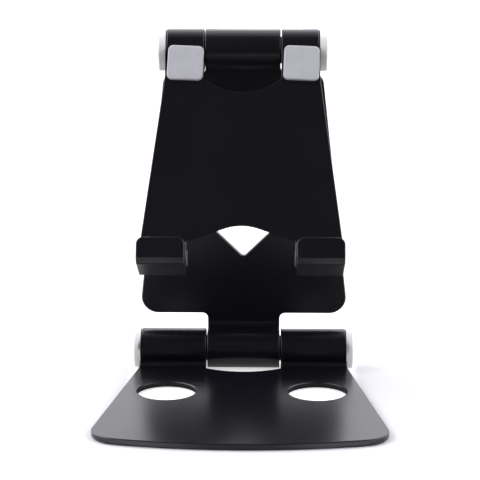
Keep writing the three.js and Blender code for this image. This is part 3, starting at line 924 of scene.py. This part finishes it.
def hook_liner(sgn):
    gap = 0.25
    t = LINER_THICK
    y0 = -BARREL_R - gap
    y1 = -(BARREL_R - PLATE) - HOOK_DEPTH + PLATE + gap
    z0 = -TRAY_LENGTH + PLATE + gap
    z1 = -TRAY_LENGTH + LINER_UP
    section = rounded(
        [
            (y0, z0 - HOOK_DROP, 1.1),
            (y0, z1, 0.0),
            (y0 - t, z1, 0.0),
            (y0 - t, z0 + t - HOOK_DROP, 0.5),
            (y1 + t, z0 + t, 0.5),
            (y1 + t, z1, 0.0),
            (y1, z1, 0.0),
            (y1, z0, 1.1),
        ],
        10,
    )
    a, b = HOOK_INNER - 0.5, TRAY_HALF - 0.5
    o = prism("liner", section, *((a, b) if sgn > 0 else (-b, -a)), "X")
    return ease(o, 0.22, angle=40)


for sgn, side in ((-1, "left"), (1, "right")):
    finish_piece(
        hook_liner(sgn),
        f"hook_liner_{side}_fine",
        TRAY,
        "tray",
        [f"hook_liner_{side}"],
        LINERS,
    )

for name, (x, y) in FEET.items():
    # turned about its own axis, then stood upright
    top = FOOT_POCKET - 0.25 + FOOT_PROUD
    foot = turned(
        name + "_mesh",
        [
            (0, 0.12),
            (2.2, 0.12),
            (2.6, 0.0),
            (FOOT_R - 0.4, 0.0),
            (FOOT_R - 0.15, 0.07),
            (FOOT_R, 0.3),
            (FOOT_R, top - 0.1),
            (FOOT_R - 0.1, top),
            (0, top),
        ],
        64,
    )
    smooth(foot, 35)
    m = (
        LOWER
        @ Matrix.Translation((x * MM, y * MM, (-BARREL_R - FOOT_PROUD) * MM))
        @ Matrix.Rotation(-math.pi / 2, 4, "Y")
    )
    finish_piece(foot, name + "_fine", m, "base", [name], RUBBER)


# ------------------------------------------------------------ hinge hardware
def end_cap(name, face):
    """A turned cap: a stub in the counterbore, a broken edge all round and a
    shallow dished face inside a fine rim."""
    x0 = face + 0.06
    x1 = face + 2.5
    profile = [(0, face - 2.0), (3.9, face - 2.0), (4.2, face - 1.7), (4.2, x0)]
    profile += [(6.85, x0), (6.95, x0 + 0.04), (7.0, x0 + 0.15)]
    r = 0.38
    profile += [(7.0 - r + r * math.cos(t), x1 - r + r * math.sin(t)) for t in (math.pi / 2 * k / 8 for k in range(9))]
    profile += [(5.35, x1), (5.25, x1 - 0.05), (5.1, x1 - 0.16)]
    profile += [(4.9, x1 - 0.2), (3.5, x1 - 0.17), (1.6, x1 - 0.15), (0.35, x1 - 0.15), (0, x1 - 0.15)]
    return smooth(turned(name, profile, 128), 24)


def friction_washer(name, x0, x1):
    e = 0.06
    r = WASHER_R
    profile = [(BORE_R, x0), (r - e, x0), (r, x0 + e), (r, x1 - e), (r - e, x1), (BORE_R, x1)]
    return smooth(turned(name, profile, 72), 30)


for where, matrix, body, barrel_half, knuckle_in, face in (
    ("lower", LOWER, "base", LOWER_BARREL_HALF, LOWER_KNUCKLE_IN, LOWER_KNUCKLE_OUT),
    ("upper", TRAY, "tray", UPPER_BARREL_HALF, UPPER_KNUCKLE_IN, UPPER_KNUCKLE_OUT),
):
    for side, turn in (("right", 0), ("left", math.pi)):
        m = matrix @ Matrix.Rotation(turn, 4, "Y")
        n = f"{where}_end_cap_{side}"
        finish_piece(end_cap(n + "_mesh", face), n + "_fine", m, body, [n], CAPS)
        n = f"{where}_friction_washer_{side}"
        finish_piece(
            friction_washer(n + "_mesh", barrel_half - RECESS_DEPTH + 0.1, knuckle_in - 0.03),
            n + "_fine",
            m,
            body,
            [n],
            POLYMER,
        )

# the sealed inner pieces keep their CAD shape
for n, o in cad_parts.items():
    if o.hide_render:
        continue
    if "shaft" in n or "lock_nut" in n:
        chosen = ZINC
    elif "spring_washer" in n:
        chosen = SPRING
    elif "bush" in n:
        chosen = ACETAL
    else:
        chosen = COATING
    if not o.material_slots:
        o.data.materials.append(chosen)
    for s in o.material_slots:
        s.link = "OBJECT"
        s.material = chosen

# ------------------------------------------------------------ floor and light
# A white sheet in a room whose light comes from behind and from both sides, and
# whose front is dark. The sheet looks evenly white, and what it throws back at
# the stand fades towards the front.
floor_mesh = bpy.data.meshes.new("floor")
floor_mesh.from_pydata([(-14, -14, 0), (14, -14, 0), (14, 14, 0), (-14, 14, 0)], [], [(0, 1, 2, 3)])
floor = link("floor", floor_mesh)
floor_material = bpy.data.materials.new("floor")
floor_material.use_nodes = True
ft = floor_material.node_tree
ft.nodes.clear()


def node(tree, kind, inputs=None, **settings):
    made = tree.nodes.new(kind)
    for k, v in settings.items():
        setattr(made, k, v)
    for k, v in (inputs or {}).items():
        if isinstance(v, bpy.types.NodeSocket):
            tree.links.new(v, made.inputs[k])
        else:
            made.inputs[k].default_value = v
    return made


def remap(tree, value, a, b, c, d, smooth_step=True):
    return node(
        tree,
        "ShaderNodeMapRange",
        {"Value": value, "From Min": a, "From Max": b, "To Min": c, "To Max": d},
        interpolation_type="SMOOTHSTEP" if smooth_step else "LINEAR",
    ).outputs["Result"]


def calc(tree, operation, a, b=0.0):
    return node(tree, "ShaderNodeMath", {0: a, 1: b}, operation=operation).outputs[0]


place = node(
    ft, "ShaderNodeSeparateXYZ", {0: node(ft, "ShaderNodeTexCoord").outputs["Object"]}
)
near = remap(ft, place.outputs["Y"], -0.075, 0.02, 0.0, 0.42)
far = calc(
    ft,
    "MULTIPLY",
    remap(ft, place.outputs["Y"], -0.105, -0.09, 0.14, 0.0),
    remap(ft, place.outputs["Y"], -0.30, -0.13, 0.0, 1.0),
)
ahead = calc(
    ft,
    "MULTIPLY",
    remap(ft, place.outputs["Y"], -0.235, -0.20, 0.8, 0.0),
    remap(ft, place.outputs["Y"], -0.40, -0.35, 0.0, 1.0),
)
aside = remap(ft, calc(ft, "ABSOLUTE", place.outputs["X"]), 0.008, 0.034, 0.0, 1.0)
outer = remap(ft, place.outputs["Y"], -0.10, -0.045, 0.06, 0.74)
edge = calc(
    ft,
    "MULTIPLY",
    remap(ft, place.outputs["Y"], -0.070, -0.054, 0.0, 0.37),
    remap(ft, place.outputs["Y"], -0.046, -0.044, 1.0, 0.0),
)
inside = calc(
    ft,
    "MULTIPLY",
    remap(ft, place.outputs["Y"], -0.04, -0.02, 0.0, 0.55),
    remap(ft, calc(ft, "ABSOLUTE", place.outputs["X"]), 0.042, 0.048, 1.0, 0.0),
)
beyond = remap(ft, place.outputs["Y"], 0.075, 0.125, 1.0, 0.3)
returned = calc(
    ft,
    "ADD",
    calc(ft, "MULTIPLY", calc(ft, "ADD", calc(ft, "ADD", near, far), ahead), calc(ft, "SUBTRACT", 1.0, aside)),
    calc(ft, "MULTIPLY", outer, aside),
)
returned = calc(ft, "MULTIPLY", calc(ft, "ADD", returned, edge), calc(ft, "SUBTRACT", 1.0, inside))
returned = calc(ft, "MULTIPLY", returned, beyond)
glow = calc(ft, "MULTIPLY", remap(ft, place.outputs["Y"], 0.018, 0.034, 0.0, 0.38), beyond)
gap = calc(
    ft,
    "MULTIPLY",
    calc(
        ft,
        "MULTIPLY",
        remap(ft, place.outputs["Y"], 0.050, 0.056, 0.0, 1.3),
        remap(ft, place.outputs["Y"], 0.080, 0.090, 1.0, 0.0),
    ),
    calc(
        ft,
        "MULTIPLY",
        remap(ft, calc(ft, "ABSOLUTE", place.outputs["X"]), 0.010, 0.018, 0.0, 1.0),
        remap(ft, calc(ft, "ABSOLUTE", place.outputs["X"]), 0.036, 0.042, 1.0, 0.0),
    ),
)
glow = calc(ft, "ADD", glow, gap)
under = calc(
    ft,
    "MULTIPLY",
    remap(ft, place.outputs["Y"], -0.02, 0.0, 0.0, FLOOR_GLOW),
    remap(ft, calc(ft, "ABSOLUTE", place.outputs["X"]), 0.036, 0.042, 1.0, 0.0),
)
lit = node(ft, "ShaderNodeBsdfDiffuse", {"Color": (FLOOR_SEEN, FLOOR_SEEN, FLOOR_SEEN, 1)})
shine = node(ft, "ShaderNodeEmission", {"Color": (1, 1, 1, 1), "Strength": under})
seen = node(ft, "ShaderNodeAddShader", {0: lit.outputs[0], 1: shine.outputs[0]})
thrown = node(
    ft,
    "ShaderNodeAddShader",
    {
        0: node(ft, "ShaderNodeBsdfDiffuse", {"Color": returned}).outputs[0],
        1: node(ft, "ShaderNodeEmission", {"Color": (1, 1, 1, 1), "Strength": glow}).outputs[0],
    },
)
ray = node(ft, "ShaderNodeLightPath")
both = node(ft, "ShaderNodeMixShader", {0: ray.outputs["Is Camera Ray"], 1: thrown.outputs[0], 2: seen.outputs[0]})
node(ft, "ShaderNodeOutputMaterial", {"Surface": both.outputs[0]})
floor.data.materials.append(floor_material)

world = bpy.data.worlds.new("studio")
bpy.context.scene.world = world
world.use_nodes = True
wt = world.node_tree
wt.nodes.clear()
way = node(wt, "ShaderNodeSeparateXYZ", {0: node(wt, "ShaderNodeTexCoord").outputs["Generated"]})
back = remap(wt, way.outputs["Y"], -0.35, 0.95, 0.0, WORLD_BACK)
low = calc(
    wt,
    "MULTIPLY",
    remap(wt, way.outputs["Z"], 0.16, 0.46, 0.62, 1.0),
    remap(wt, way.outputs["Z"], 0.0, 0.15, 0.5, 1.0),
)
left = remap(wt, calc(wt, "MULTIPLY", way.outputs["X"], -1.0), 0.30, 0.75, 0.0, WORLD_LEFT)
right = remap(wt, way.outputs["X"], 0.30, 0.75, 0.0, WORLD_RIGHT)
high = remap(wt, way.outputs["Z"], 0.05, 0.60, 0.25, 1.0)
sides = calc(wt, "MULTIPLY", calc(wt, "ADD", left, right), high)
total = calc(wt, "ADD", calc(wt, "MULTIPLY", back, low), calc(wt, "ADD", sides, WORLD_FRONT))
studio = node(wt, "ShaderNodeBackground", {"Color": (1.0, 0.99, 1.05, 1), "Strength": total})
plain = node(wt, "ShaderNodeBackground", {"Color": (1, 1, 1, 1), "Strength": 1.0})
ray = node(wt, "ShaderNodeLightPath")
both = node(wt, "ShaderNodeMixShader", {0: ray.outputs["Is Camera Ray"], 1: studio.outputs[0], 2: plain.outputs[0]})
node(wt, "ShaderNodeOutputWorld", {"Surface": both.outputs[0]})
